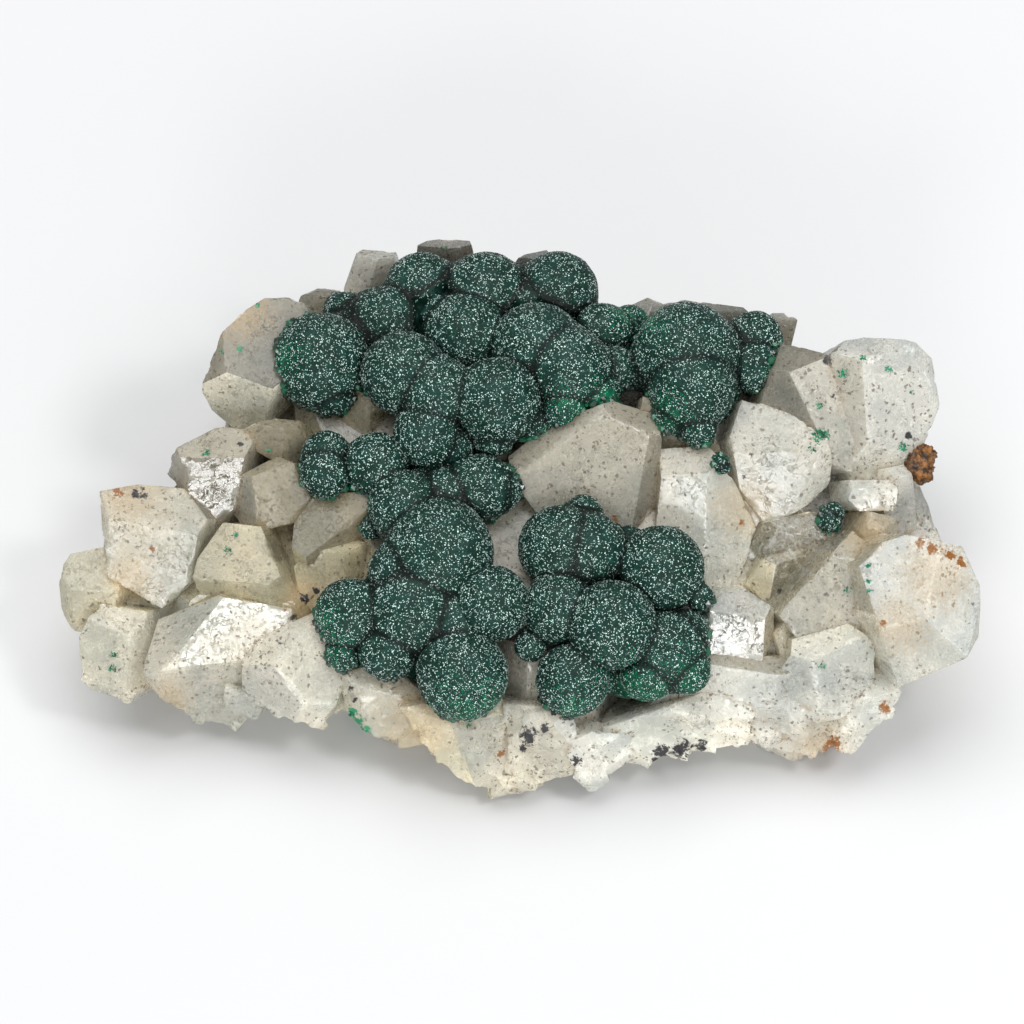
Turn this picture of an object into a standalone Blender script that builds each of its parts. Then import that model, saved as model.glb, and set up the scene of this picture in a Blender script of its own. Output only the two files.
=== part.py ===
"""Cluster of stubby quartz crystals, cut off flat beneath, with a crust of malachite balls.

The display face looks forward and up. Places on it are given in millimetres across the face, up the
face, and as a height above the flat cut. The crystals are blocks of flat faces grown together in one
solid. The malachite grows on it in a few masses of merged balls, and goethite in one small patch.
"""

import math
import random

import bmesh
import bpy
from mathutils import Matrix, Vector

for old in list(bpy.data.objects):
    bpy.data.objects.remove(old, do_unlink=True)

MM = 0.001

# The display face: how far it leans back from level, and the height of its middle above the cut
FACE_TILT = math.radians(55)
FACE_HEIGHT = 24.0
ACROSS = Vector((1, 0, 0))
UP = Vector((0, math.sin(FACE_TILT), math.cos(FACE_TILT)))
OUT = Vector((0, -math.cos(FACE_TILT), math.sin(FACE_TILT)))
MIDDLE = Vector((0, 0, FACE_HEIGHT))

# Every crystal narrows towards one root far behind the display face, from an outline that is
# measured a little behind its crest
ROOT = MIDDLE - 110 * OUT
OUTLINE_DEPTH = 4.0

# Angle between a quartz crystal's long axis and the normals of its six pointed faces
POINT_FACE_ANGLE = math.radians(51.8)

# Room between pieces that grew on each other
GAP = 0.35

# Edge of the cube that each crystal is cut from, and how far below the cut its foot goes
BLOCK = 300.0
FOOT = 2.0

# The crystals seen on the display face. Outline: corners across and up the face.
# Crest: across, up, height. Faces: direction of fall, angle of fall, distance from the crest.
CRYSTALS = {
    "left_edge_big": (
        [(-53.5, 3), (-49, 4), (-43, 3.5), (-39, -0.5), (-41, -8.5), (-45, -12), (-51.5, -8)],
        (-47, -1.5, 23), [(260, 12, 0), (80, 38, 0), (340, 45, 6), (80, 70, 4.5), (180, 65, 5.5)]),
    "left_edge_middle": (
        [(-57, -5), (-52.5, -4), (-50, -6.5), (-49.5, -10), (-52.5, -15.5), (-56.5, -15),
         (-58.5, -12), (-58.5, -9)],
        (-54.5, -10, 17), [(90, 28, 0), (262, 26, 0), (190, 60, 3)]),
    "left_edge_low": (
        [(-55, -15.5), (-55, -20.5), (-54.5, -22.5), (-50, -24.5), (-47, -22), (-46, -18.5),
         (-47, -12.5), (-53, -11.5)],
        (-50, -19.5, 13.5), [(190, 12, 0), (350, 45, 0), (255, 60, 2.8), (80, 40, 4)]),
    "left_bright_tip": (
        [(-47.5, -14), (-38.5, -10.5), (-29.5, -12.5), (-28.5, -16.5), (-34, -25),
         (-39, -29.5), (-42.5, -29), (-47, -21.5)],
        (-45, -20, 17), [(28, 20, 0), (125, 50, 0), (294, 48, 0), (230, 55, 1)]),
    "left_roof": (
        [(-40.5, -9), (-40, -5.5), (-37.5, -1), (-32.5, -1.5), (-30, -6), (-27.5, -11.5), (-30, -14.5),
         (-35, -15), (-38.5, -12)],
        (-32, -9, 20), [(92, 22, 0), (262, 40, 0), (310, 42, 0), (20, 50, 2.5)]),
    "left_speckled": (
        [(-46, 5.5), (-43.5, 8), (-38, 11.5), (-34.5, 11), (-33, 9.5), (-35.5, 1), (-38, -1.5)],
        (-38.5, 7.5, 26), [(270, 15, 0), (90, 35, 0), (200, 65, 4.5)]),
    "left_inner": (
        [(-30, 7.5), (-35.5, 4.5), (-36.5, 0), (-35, -1.5), (-32, -2), (-28, -1), (-25.5, 1.5),
         (-27.5, 6.5)],
        (-34, 5, 25), [(300, 15, 0), (200, 45, 0), (110, 50, 0)]),
    "left_small_upper": (
        [(-34.5, 11), (-31, 12.5), (-27, 12), (-26.5, 9), (-27, 5.5), (-30, 6.5), (-33.5, 8.5)],
        (-30, 11.5, 28), [(240, 30, 0), (320, 40, 0), (90, 60, 0)]),
    "upper_left_big": (
        [(-32.5, 28.5), (-30, 29), (-27.5, 28), (-25.5, 25), (-26.5, 20), (-34, 11),
         (-37, 11), (-40, 14), (-40.5, 16), (-37.5, 23), (-35, 26.5)],
        (-35.5, 18, 30), [(70, 20, 0), (250, 45, 0), (165, 42, 2), (125, 60, 7)]),
    "top_left": (
        [(-23, 28), (-22.5, 29.5), (-20.5, 33), (-19.5, 34.5), (-15, 34), (-14.5, 28), (-20, 25)],
        (-18, 33, 28), [(200, 35, 0), (300, 35, 0), (90, 60, 1)]),
    "top_left_low": (
        [(-28, 26.5), (-27, 28), (-24.5, 29.5), (-22, 29), (-20.5, 25), (-26.5, 23.5)],
        (-24.5, 28.5, 27), [(240, 30, 0), (330, 35, 0), (90, 55, 0.5)]),
    "top_middle": (
        [(-13, 31), (-12, 34.5), (-11, 35.5), (-9, 36), (-5.5, 35.5), (-5, 34), (-5, 30)],
        (-8.5, 35, 27), [(250, 35, 0), (300, 40, 0), (90, 60, 0.5)]),
    "top_behind_balls": (
        [(-1, 30), (0.5, 33), (4.5, 34.5), (6, 33), (4.5, 28.5)],
        (3.5, 33.5, 27), [(240, 40, 0), (90, 60, 0.5)]),
    "top_right": (
        [(16, 22), (18, 27), (22.5, 28), (29.5, 26.5), (31, 22)],
        (23, 26.5, 27), [(270, 35, 0), (90, 60, 0.5)]),
    "top_right_small": (
        [(31.5, 21.5), (33.5, 26), (35, 26), (36, 25), (36.5, 21.5)],
        (35.5, 25.5, 27), [(270, 40, 0), (90, 60, 0.3)]),
    "between_balls": (
        [(-29, 16.5), (-22, 17), (-17, 14.5), (-15, 12.5), (-15, 10.5), (-21.5, 9.5), (-28, 11.5)],
        (-18.5, 13.5, 26), [(200, 18, 0), (340, 35, 0), (300, 60, 2)]),
    "lying_prism": (
        [(-28, -6.5), (-28, -1), (-25.5, 2.5), (-19, 3), (-16.5, 1), (-19.5, -4.5), (-22, -6)],
        (-23, -2.5, 22), [(128, 25, 0), (308, 40, 0), (218, 60, 5)]),
    "below_prism": (
        [(-28, -6.5), (-22, -2.5), (-17, -4), (-17, -10), (-22, -12), (-25.5, -13), (-27.5, -10)],
        (-22, -6, 20), [(215, 18, 0), (345, 40, 0), (90, 50, 1)]),
    "lower_left_round": (
        [(-34.5, -18.5), (-32, -15.5), (-25.5, -12.5), (-23.5, -14.5), (-21, -20), (-22.5, -24.5),
         (-25, -27.5), (-31, -26), (-35, -22.5)],
        (-31, -19.5, 16.5), [(340, 10, 0), (230, 35, 0), (130, 35, 0), (280, 40, 4.5)]),
    "lower_left_small": (
        [(-36.5, -24.5), (-36, -21), (-31, -23.5), (-33, -26), (-36, -25.5)],
        (-34.5, -23.5, 10.5), [(270, 40, 0), (60, 30, 0)]),
    "bottom_left_broken": (
        [(-22, -20), (-21, -26), (-19, -28), (-16, -29), (-11.5, -30), (-9.5, -24), (-16, -18.5)],
        (-16, -23, 13.5), [(270, 22, 0), (60, 20, 0), (225, 45, 3)]),
    "bottom_middle_broken": (
        [(-14, -24), (-10.5, -31.5), (-6.5, -35.3), (-2.5, -37), (1, -37.3), (4, -36), (3.5, -29.5),
         (-1.5, -23.5)],
        (-8, -27, 13), [(255, 35, 0), (300, 30, 0), (60, 20, 0)]),
    "bottom_block": (
        [(-1, -24), (0, -36.5), (3.5, -36), (8, -34.5), (9, -31), (6.5, -24)],
        (3, -27, 13.5), [(270, 40, 0), (200, 35, 1), (330, 35, 2), (90, 15, 0)]),
    "bottom_fang": (
        [(6.5, -29.5), (7.5, -31.5), (10, -36.5), (12, -36), (16.5, -31.5), (16.5, -28.5),
         (10, -27)],
        (11, -28.5, 12), [(250, 35, 0), (310, 45, 0), (90, 20, 0)]),
    "bottom_right_milky": (
        [(11.5, -27), (16.5, -25), (24.5, -22.5), (31, -24), (31, -29.8), (23.5, -31.5),
         (15, -33)],
        (20.5, -25.5, 13), [(275, 38, 0), (60, 20, 0), (225, 45, 6)]),
    "bottom_right_edge": (
        [(30, -23), (31.5, -29.5), (35.5, -31), (41.5, -31.5), (43, -30.5), (42.5, -26.5), (37.5, -23)],
        (36.5, -25.5, 12), [(260, 40, 0), (310, 40, 1), (90, 25, 0)]),
    "lower_right_milky": (
        [(16.5, -26), (23, -17.5), (35.5, -18.2), (36.7, -24), (37.5, -29.5), (31.5, -29.5),
         (24.5, -28.5)],
        (30.5, -20.5, 15.5), [(262, 22, 0), (310, 30, 3), (80, 40, 0.5)]),
    "middle_big": (
        [(-0.5, 7.5), (4, 11), (8, 13), (13, 14.5), (18.5, 13), (19, 9.5), (19, 2), (15.5, -2.5),
         (11.5, -4), (4, -1), (0, 4.5)],
        (11.5, 10, 29), [(280, 8, 0), (130, 36, 2.8), (335, 28, 5.5), (60, 40, 3.5)]),
    "middle_tip": (
        [(19, 8.5), (25, 9), (29, 3.5), (32, -1.5), (31, -6), (29, -11.5), (26, -12.5), (18.5, -2)],
        (25.5, 5.5, 27), [(105, 30, 0), (245, 14, 0), (335, 28, 0)]),
    "middle_behind": (
        [(16.5, 15), (24.5, 12.5), (26.5, 8), (18.5, 7.5), (16, 11)],
        (23, 11.5, 28), [(240, 25, 0), (60, 25, 0)]),
    "right_inner": (
        [(30, 15), (32.5, 14.5), (36, 13), (38.5, 11), (41, 7.5), (41.5, 4), (38.5, 1.5),
         (33, -1.5), (29, 3.5), (27.5, 9.5)],
        (33, 8.5, 27.5), [(95, 28, 0), (268, 15, 0), (185, 45, 4), (325, 45, 6)]),
    "right_upper": (
        [(35.5, 22.5), (37.5, 22), (41, 20.5), (43.5, 12.5), (44, 9.5), (43.5, 5.5), (40.5, 6.5),
         (32, 14.5), (33, 18.5)],
        (38, 15, 30), [(215, 25, 0), (15, 20, 0), (95, 50, 4)]),
    "top_right_big": (
        [(40.5, 20.5), (43, 22.5), (45.5, 23), (50.5, 22.5), (55, 20.5), (55.5, 14.5), (53, 7.5),
         (49, 4), (44.5, 4), (42, 12.5)],
        (46, 17, 31), [(200, 26, 0), (335, 15, 0), (275, 32, 6), (95, 45, 3.5), (15, 55, 7)]),
    "right_bright_small": (
        [(43, 4.5), (48.5, 4.5), (48.5, 0.5), (44, 0.5), (42.5, 2)],
        (46, 3.5, 24.5), [(265, 12, 0), (90, 50, 0)]),
    "right_fractured": (
        [(48, 6), (50.5, 6.5), (52, 3), (54.5, -3.5), (49.5, -3.5), (47.5, 0.5)],
        (49.5, 4.5, 24.5), [(320, 38, 0), (205, 30, 0), (90, 50, 0)]),
    "right_chip": (
        [(51, 3.5), (52, 3.5), (53.5, 1.5), (55, -2.5), (54, -3.5), (50.5, 1.5)],
        (52, 2.5, 20), [(0, 35, 0), (250, 25, 0)]),
    "right_small": (
        [(44, -2), (45.5, 0.5), (49.5, -0.5), (50, -3.5), (46, -4.5)],
        (47, -1.5, 23), [(250, 25, 0), (60, 30, 0), (340, 35, 1)]),
    "right_edge_big": (
        [(44, -6.5), (47, -3.5), (50, -2.5), (57.5, -4), (60.5, -9), (61, -16), (58, -18.5),
         (50.5, -22.5), (48.5, -19), (45.5, -12.5)],
        (52, -10, 25), [(130, 12, 0), (0, 30, 2.5), (275, 30, 4.5), (350, 62, 7), (60, 45, 6)]),
    "right_beige": (
        [(40.5, -4.5), (44, -2), (46.5, -4.5), (46, -12), (45, -14.5), (36.5, -16), (33.5, -12.5)],
        (41.5, -7, 23), [(300, 14, 0), (150, 60, 2.5), (70, 40, 2)]),
    "clear_upper": (
        [(31, -4), (32, -1), (38.5, 0.5), (40, 0), (41, -3.5), (36, -6), (32.5, -6)],
        (36.5, -2, 21), [(265, 25, 0), (85, 35, 0), (180, 40, 2)]),
    "clear_lower": (
        [(30, -9), (32, -5.5), (36, -4), (41, -4), (37.5, -10), (34, -12.5)],
        (34.5, -6.5, 18.5), [(215, 22, 0), (320, 30, 0), (90, 30, 0)]),
    "lower_bright": (
        [(25, -11), (26.5, -10), (30, -9.5), (33.5, -12), (34, -16.5), (30.5, -19.5), (26, -18.5),
         (24.5, -16.5)],
        (29.5, -13, 20), [(262, 14, 0), (82, 35, 0), (350, 65, 3.4)]),
    "lower_bright_small": (
        [(33, -15), (35, -13), (36.5, -16), (36, -19), (34, -18)],
        (35, -15, 17.5), [(200, 25, 0), (0, 50, 0)]),
    "lower_right": (
        [(36, -16), (43.5, -14), (46.5, -16.5), (47, -21.5), (43.5, -25.5), (39.5, -27), (35.5, -24.5),
         (34.5, -19.5)],
        (39, -19, 17.5), [(330, 22, 0), (215, 30, 0), (100, 40, 0), (285, 45, 5)]),
    "lower_right_white": (
        [(39.5, -27.5), (42, -25), (46.5, -20.5), (49, -18.5), (49.5, -21.5), (49, -24.5), (46, -29),
         (44, -31), (41.5, -30)],
        (46, -24, 13), [(300, 35, 0), (200, 30, 0), (90, 40, 0)]),
    "window_middle": (
        [(-2, 2.5), (4.5, 2), (6.5, -6), (-1.5, -6.5)],
        (1.5, 0, 21), [(270, 10, 0), (90, 30, 0)]),
    "window_upper": (
        [(11, 18.5), (16, 18.5), (17.5, 13.5), (11.5, 12.5)],
        (13.5, 16, 27.5), [(270, 20, 0), (90, 20, 0)]),
    "core": (
        [(-51, -8), (-38.5, 10.5), (-29.5, 22), (-14.5, 30), (6.5, 30), (26, 24.5), (50, 16), (54, -6),
         (48, -17), (37.5, -26), (-1.5, -31), (-22, -26.5), (-46, -18)],
        (0, 0, 17), [(90, 19.4, 0), (270, 25, 20)]),
    "core_middle": (
        [(-29, 4), (-27, 20), (-15, 29), (6, 29), (24, 24), (33, 18), (30, 0), (24, -17), (-6, -24),
         (-20, -19), (-27, -8)],
        (0, 0, 21), [(90, 20.8, 0), (180, 40, 20), (0, 40, 22), (270, 35, 17), (90, 45, 24)]),
}

# Hidden sides: crystals with even six-sided points. Tip in mm, azimuth, elevation, width, turn.
SIDE_CRYSTALS = {
    "back_left": ((-24, 45, 11), 112, 22, 13, 10),
    "back_left_middle": ((-10, 50, 9), 97, 16, 15, 25),
    "back_middle": ((4, 49, 11), 84, 22, 12, 0),
    "back_right_middle": ((17, 43, 8), 80, 14, 14, 15),
    "back_right": ((30, 39, 10), 68, 20, 12, 35),
    "back_right_end": ((43, 31, 11), 48, 24, 13, 5),
    "back_left_end": ((-37, 33, 10), 134, 18, 13, 20),
    "left_under": ((-47, 12, 8), 168, 14, 12, 0),
    "left_under_middle": ((-50, -3, 6), 186, 4, 11, 30),
    "left_under_front": ((-40, -14, 5), 216, 0, 10, 12),
    "right_under": ((51, 13, 8), 14, 10, 11, 18),
    "right_under_middle": ((53, -3, 6), -10, 4, 12, 8),
    "right_under_front": ((44, -15, 5), -42, 0, 10, 28),
}
SIDE_CRYSTAL_LENGTH = 34.0

# Broken stone between the crystals and the cut: centre in mm, size, seed of its broken faces
BROKEN = {
    "broken_front_left": ((-14, -10, 4), 20, 3),
    "broken_front": ((6, -12, 4), 20, 5),
    "broken_front_right": ((26, -9, 4), 20, 8),
    "broken_left": ((-34, -2, 4), 26, 11),
    "broken_left_back": ((-25, 24, 3), 27, 14),
    "broken_back": ((-7, 33, 4), 32, 17),
    "broken_back_right": ((19, 28, 5), 31, 21),
    "broken_right": ((37, 8, 4), 28, 24),
    "broken_right_front": ((36, -11, 4), 20, 29),
}
BROKEN_FACES = 16
GOLDEN_ANGLE = 2.4

# Malachite balls: across, up, height of the centre, radius, all in mm
MALACHITE = {
    "malachite_upper_mass": [
        (-25.3, 20.2, 28.5, 6.3), (-22.4, 27, 27.5, 2.4), (-16.6, 25.2, 28, 4.7),
        (-20.9, 23.5, 27, 3.7), (-12, 30, 28.5, 4.7), (-3.5, 29.1, 29, 5.6), (6.1, 29.6, 29, 5.2),
        (11.9, 24.1, 28.5, 3.7), (3.3, 21.5, 30, 6.2), (-6.1, 23.5, 29.5, 5.4),
        (-14.2, 18.6, 30.5, 5.5), (-9.8, 16, 30.5, 4.8), (-11.3, 10.4, 28, 4.2), (-2, 15, 30.5, 5.5),
        (7.3, 19.2, 30.5, 5.6), (11, 16, 29, 3), (15.6, 25, 27, 2.7), (-8, 9, 26.5, 2.8),
        (2.5, 12.6, 28, 2.6), (13.6, 19, 28.5, 3), (6.8, 13.6, 29, 2.8), (-2.5, 10.3, 27.5, 2.6),
        (-23.6, 15.8, 27, 2.7)],
    "malachite_right_mass": [
        (22.9, 21, 30.5, 6.9), (23.6, 16.5, 30.5, 5.5), (18.3, 19.2, 29, 3.3), (32, 23.2, 29, 3.6),
        (31.8, 19.4, 29, 3.2), (21.3, 13.2, 29, 2.7), (24.5, 11, 28.7, 2.1)],
    "malachite_middle_mass": [
        (-24.3, 7.8, 25.5, 3.2), (-24.5, 5.3, 25.5, 3.1), (-17.7, 6.6, 25.5, 4.2),
        (-14, 0.9, 24.5, 4.7), (-8.5, 2, 24, 4), (-4.2, 3.6, 24.5, 4.4), (-1.2, 3.2, 24.5, 2.4),
        (-9.4, -5, 23.5, 7), (-21.1, -12.8, 20, 4.5), (-13, -12.4, 20.5, 5.8), (-16.2, -17.9, 18, 3.5),
        (-22, -18.2, 17, 2), (-6.4, -20.7, 17.5, 5.9), (-7.5, -14, 20, 4.2), (-14, -7.5, 22.5, 4.6)],
    "malachite_middle_ball": [(-2.7, -11.5, 22, 5)],
    "malachite_lower_mass": [
        (6.3, -4.3, 23, 5.5), (9.9, -4.8, 23, 5), (5.9, -12.1, 21, 4.6), (13, -14.2, 21.5, 5.6),
        (19.4, -7, 22, 5.6), (7.8, -21.5, 16.5, 4.7), (20, -17.6, 17.5, 4.9), (22.6, -15.3, 18, 2.9),
        (22.8, -20.3, 16.5, 2.9), (17.5, -21, 16.5, 3.2), (24.5, -10.7, 20.5, 1.7), (9.3, 0.2, 24, 2.4),
        (2.3, -17, 18.5, 2)],
    "malachite_nodule_right": [(27.1, 6.8, 27.5, 0.9), (27.6, 6.2, 27.3, 0.6)],
    "malachite_nodule_prism": [(-18.6, -2, 22.5, 1.1), (-17.4, -1.4, 22.7, 1.2)],
    "malachite_nodule_gap": [(41.5, -1.2, 21, 1.4), (42, 0.4, 21.3, 1.3)],
}

# Coarse balls below them that fill each mass
BEDS = {
    "malachite_upper_mass": [
        (-9, 24, 23.5, 9), (3, 24, 23.5, 9), (-17, 22, 23, 8), (7, 18, 22.5, 8), (-6, 15, 22, 8)],
    "malachite_right_mass": [(23, 18, 25.5, 8), (29.4, 20.3, 26.2, 4.7)],
    "malachite_middle_mass": [(-13, -14, 14.5, 9), (-10, 0, 18.5, 8)],
    "malachite_lower_mass": [(12, -9, 15.5, 9), (16, -17.5, 13.5, 6.5)],
}

# Balls no larger than this are coarse too, and each ball is turned on from the one before
SMALL_BALL = 3.3
BALL_TURN = 1.3

# Goethite lumps in the notch of the right edge: across, up, height, radius
GOETHITE = [(53, 6.5, 23.5, 1.5), (54.2, 7.8, 23.5, 1.4), (53.8, 5.3, 23, 1.2)]

COLOURS = {
    "quartz": ((0.66, 0.63, 0.53, 1), 0.2),
    "malachite": ((0.02, 0.11, 0.08, 1), 0.55),
    "goethite": ((0.16, 0.06, 0.015, 1), 0.6),
}


def make_collection(name):
    collection = bpy.data.collections.new(name)
    bpy.context.scene.collection.children.link(collection)
    return collection


CLUSTER = make_collection("quartz")
CUTTERS = make_collection("cutters")


def on_face(across, up, height):
    """Point in the model's frame from its place on the display face and its height."""
    out = (height - FACE_HEIGHT - up * UP.z) / OUT.z
    return MIDDLE + across * ACROSS + up * UP + out * OUT


def falling(direction, fall):
    """Normal of a face that falls away from the display face in one direction."""
    turn, lean = math.radians(direction), math.radians(fall)
    sideways = math.cos(turn) * ACROSS + math.sin(turn) * UP
    return math.cos(lean) * OUT + math.sin(lean) * sideways


def crystal_planes(outline, crest, faces):
    """Planes of one display crystal: its side faces run to the root, its front faces from the crest."""
    crest_point = on_face(*crest)
    depth = (crest_point - MIDDLE).dot(OUT) - OUTLINE_DEPTH
    corners = [MIDDLE + a * ACROSS + b * UP + depth * OUT for a, b in outline]
    middle = sum(corners, Vector()) / len(corners)
    planes = []
    for corner, after in zip(corners, corners[1:] + corners[:1]):
        normal = (after - corner).cross(ROOT - corner).normalized()
        if normal.dot(middle - corner) > 0:
            normal.negate()
        planes.append((corner, normal))
    for direction, fall, start in faces:
        sideways = falling(direction, 90)
        planes.append((crest_point + start * sideways, falling(direction, fall)))
    return planes


def pointed_planes(tip, azimuth, elevation, width, turn):
    """Planes of an even six-sided crystal: six sides, six pointed faces and a flat end."""
    tip = Vector(tip)
    a, e = math.radians(azimuth), math.radians(elevation)
    axis = Vector((math.cos(e) * math.cos(a), math.cos(e) * math.sin(a), math.sin(e)))
    across = axis.orthogonal().normalized()
    shoulder = width / 2 * math.tan(POINT_FACE_ANGLE)
    planes = [(tip - SIDE_CRYSTAL_LENGTH * axis, -axis)]
    for k in range(6):
        side = Matrix.Rotation(math.radians(turn + 60 * k), 3, axis) @ across
        planes.append((tip - shoulder * axis + width / 2 * side, side))
        point = math.cos(POINT_FACE_ANGLE) * axis + math.sin(POINT_FACE_ANGLE) * side
        planes.append((tip, point))
    return planes


def broken_planes(centre, size, seed):
    """Planes of a broken lump: random flat faces at random distances."""
    chance = random.Random(seed)
    centre = Vector(centre)
    planes = []
    for k in range(BROKEN_FACES):
        height = 1 - 2 * (k + 0.5) / BROKEN_FACES
        turn = k * GOLDEN_ANGLE + chance.uniform(-0.3, 0.3)
        reach = math.sqrt(1 - height * height)
        normal = Vector((reach * math.cos(turn), reach * math.sin(turn), height)).normalized()
        planes.append((centre + normal * size * chance.uniform(0.42, 0.58), normal))
    return planes


def cut_block(name, planes, margin=0.0):
    """A big cube cut down to the planes, each moved out by the margin."""
    mesh = bpy.data.meshes.new(name)
    bm = bmesh.new()
    bmesh.ops.create_cube(bm, size=BLOCK, matrix=Matrix.Translation(MIDDLE))
    floor = (Vector((0, 0, -FOOT)), Vector((0, 0, -1)))
    for point, normal in [*planes, floor]:
        parts = bm.verts[:] + bm.edges[:] + bm.faces[:]
        cut = bmesh.ops.bisect_plane(
            bm, geom=parts, dist=1e-4, plane_co=point + margin * normal, plane_no=normal,
            clear_outer=True)
        edges = [item for item in cut["geom_cut"] if isinstance(item, bmesh.types.BMEdge)]
        if len(edges) > 2:
            bmesh.ops.contextual_create(bm, geom=edges)
    bmesh.ops.recalc_face_normals(bm, faces=bm.faces)
    bm.transform(Matrix.Scale(MM, 4))
    bm.to_mesh(mesh)
    bm.free()
    return bpy.data.objects.new(name, mesh)


def all_planes():
    """Every body of the cluster as a list of planes, by name."""
    bodies = {name: crystal_planes(*row) for name, row in CRYSTALS.items()}
    bodies.update({name: pointed_planes(*row) for name, row in SIDE_CRYSTALS.items()})
    bodies.update({name: broken_planes(*row) for name, row in BROKEN.items()})
    return bodies


def combine(obj, operation, other):
    """Boolean of an object with another object or a collection, by the exact solver."""
    modifier = obj.modifiers.new(operation.lower(), "BOOLEAN")
    modifier.operation = operation
    modifier.solver = "EXACT"
    if isinstance(other, bpy.types.Collection):
        modifier.operand_type = "COLLECTION"
        modifier.collection = other
    else:
        modifier.object = other


def settle(obj):
    """Turns the modifiers' result into the object's own mesh and keeps its largest body."""
    bpy.context.view_layer.update()
    evaluated = obj.evaluated_get(bpy.context.evaluated_depsgraph_get())
    mesh = bpy.data.meshes.new_from_object(evaluated)
    obj.modifiers.clear()
    bm = bmesh.new()
    bm.from_mesh(mesh)
    bmesh.ops.remove_doubles(bm, verts=bm.verts, dist=1e-6)
    islands = []
    left = set(bm.verts)
    while left:
        stack = [left.pop()]
        island = set(stack)
        while stack:
            for edge in stack.pop().link_edges:
                for vert in edge.verts:
                    if vert in left:
                        left.discard(vert)
                        island.add(vert)
                        stack.append(vert)
        islands.append(island)
    largest = max(islands, key=len)
    bmesh.ops.delete(bm, geom=[v for v in bm.verts if v not in largest], context="VERTS")
    bm.to_mesh(mesh)
    bm.free()
    obj.data = mesh


def add_cutter(obj, collection):
    collection.objects.link(obj)
    obj.hide_render = True
    obj.display_type = "WIRE"


def floor_block(margin):
    """Big block below the cut; the grown cluster keeps what lies below instead."""
    bm = bmesh.new()
    mesh = bpy.data.meshes.new("floor_block")
    size = BLOCK * MM
    bmesh.ops.create_cube(bm, size=size, matrix=Matrix.Translation((0, 0, -size / 2 - margin * MM)))
    bm.to_mesh(mesh)
    bm.free()
    return bpy.data.objects.new("floor_block", mesh)


def make_cluster(name, margin):
    """All bodies joined in one solid, cut off flat at height zero."""
    bodies = make_collection(name + "_bodies")
    core = None
    for body, planes in all_planes().items():
        obj = cut_block(f"{name}_{body}", planes, margin)
        if body == "core":
            core = obj
            CUTTERS.objects.link(obj)
        else:
            add_cutter(obj, bodies)
    combine(core, "UNION", bodies)
    floor = floor_block(margin)
    add_cutter(floor, CUTTERS)
    combine(core, "DIFFERENCE", floor)
    settle(core)
    for obj in [*bodies.objects, floor]:
        bpy.data.objects.remove(obj, do_unlink=True)
    bpy.data.collections.remove(bodies)
    CUTTERS.objects.unlink(core)
    core.name = name
    return core


def balls(name, rows, beds, margin=0.0):
    """Merged balls as one object: the first ball joined with the others."""
    group = make_collection(name + "_balls")
    first = None
    for number, (across, up, height, radius) in enumerate([*rows, *beds]):
        mesh = bpy.data.meshes.new(f"{name}_{number}")
        bm = bmesh.new()
        centre = on_face(across, up, height)
        turn = Matrix.Rotation(number * BALL_TURN, 4, Vector((1, 2, 3)))
        place = Matrix.Scale(MM, 4) @ Matrix.Translation(centre) @ turn
        detail = 2 if radius > SMALL_BALL and number < len(rows) else 1
        bmesh.ops.create_icosphere(bm, subdivisions=detail, radius=radius + margin, matrix=place)
        bm.to_mesh(mesh)
        bm.free()
        obj = bpy.data.objects.new(f"{name}_{number}", mesh)
        if first is None:
            first = obj
            CUTTERS.objects.link(obj)
        else:
            add_cutter(obj, group)
    if len(rows) > 1:
        combine(first, "UNION", group)
    settle(first)
    for obj in list(group.objects):
        bpy.data.objects.remove(obj, do_unlink=True)
    bpy.data.collections.remove(group)
    CUTTERS.objects.unlink(first)
    first.name = name
    return first


def material(name):
    """Principled material with the piece's colour."""
    made = bpy.data.materials.get(name) or bpy.data.materials.new(name)
    made.use_nodes = True
    shader = made.node_tree.nodes["Principled BSDF"]
    colour, roughness = COLOURS[name]
    shader.inputs["Base Color"].default_value = colour
    shader.inputs["Roughness"].default_value = roughness
    shader.inputs["Metallic"].default_value = 0
    return made


def finish(obj, kind):
    obj.data.materials.clear()
    obj.data.materials.append(material(kind))
    CLUSTER.objects.link(obj)


def crust_piece(name, rows, beds, kind, neighbours):
    """Balls cut back where they meet the grown quartz and the pieces made before them."""
    piece = balls(name, rows, beds)
    CUTTERS.objects.link(piece)
    for cutter in neighbours:
        combine(piece, "DIFFERENCE", cutter)
    settle(piece)
    CUTTERS.objects.unlink(piece)
    finish(piece, kind)


def centre_on_origin():
    """Moves every piece so that the middle of the whole box's underside is the origin."""
    points = [v.co for obj in CLUSTER.objects for v in obj.data.vertices]
    low = [min(p[axis] for p in points) for axis in range(3)]
    high = [max(p[axis] for p in points) for axis in range(3)]
    shift = Vector((-(low[0] + high[0]) / 2, -(low[1] + high[1]) / 2, -low[2]))
    for obj in CLUSTER.objects:
        obj.data.transform(Matrix.Translation(shift))
    print("moved by", [round(value / MM, 3) for value in shift])


def main():
    cluster = make_cluster("quartz_cluster", 0.0)
    finish(cluster, "quartz")
    grown = make_cluster("grown_quartz", GAP)
    add_cutter(grown, CUTTERS)
    neighbours = [grown]
    for name, rows in MALACHITE.items():
        beds = BEDS.get(name, [])
        crust_piece(name, rows, beds, "malachite", neighbours)
        wider = balls(name + "_room", rows, beds, GAP)
        add_cutter(wider, CUTTERS)
        neighbours.append(wider)
    crust_piece("goethite_patch", GOETHITE, [], "goethite", neighbours)
    for obj in list(CUTTERS.objects):
        bpy.data.objects.remove(obj, do_unlink=True)
    bpy.data.collections.remove(CUTTERS)
    centre_on_origin()


main()
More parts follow.
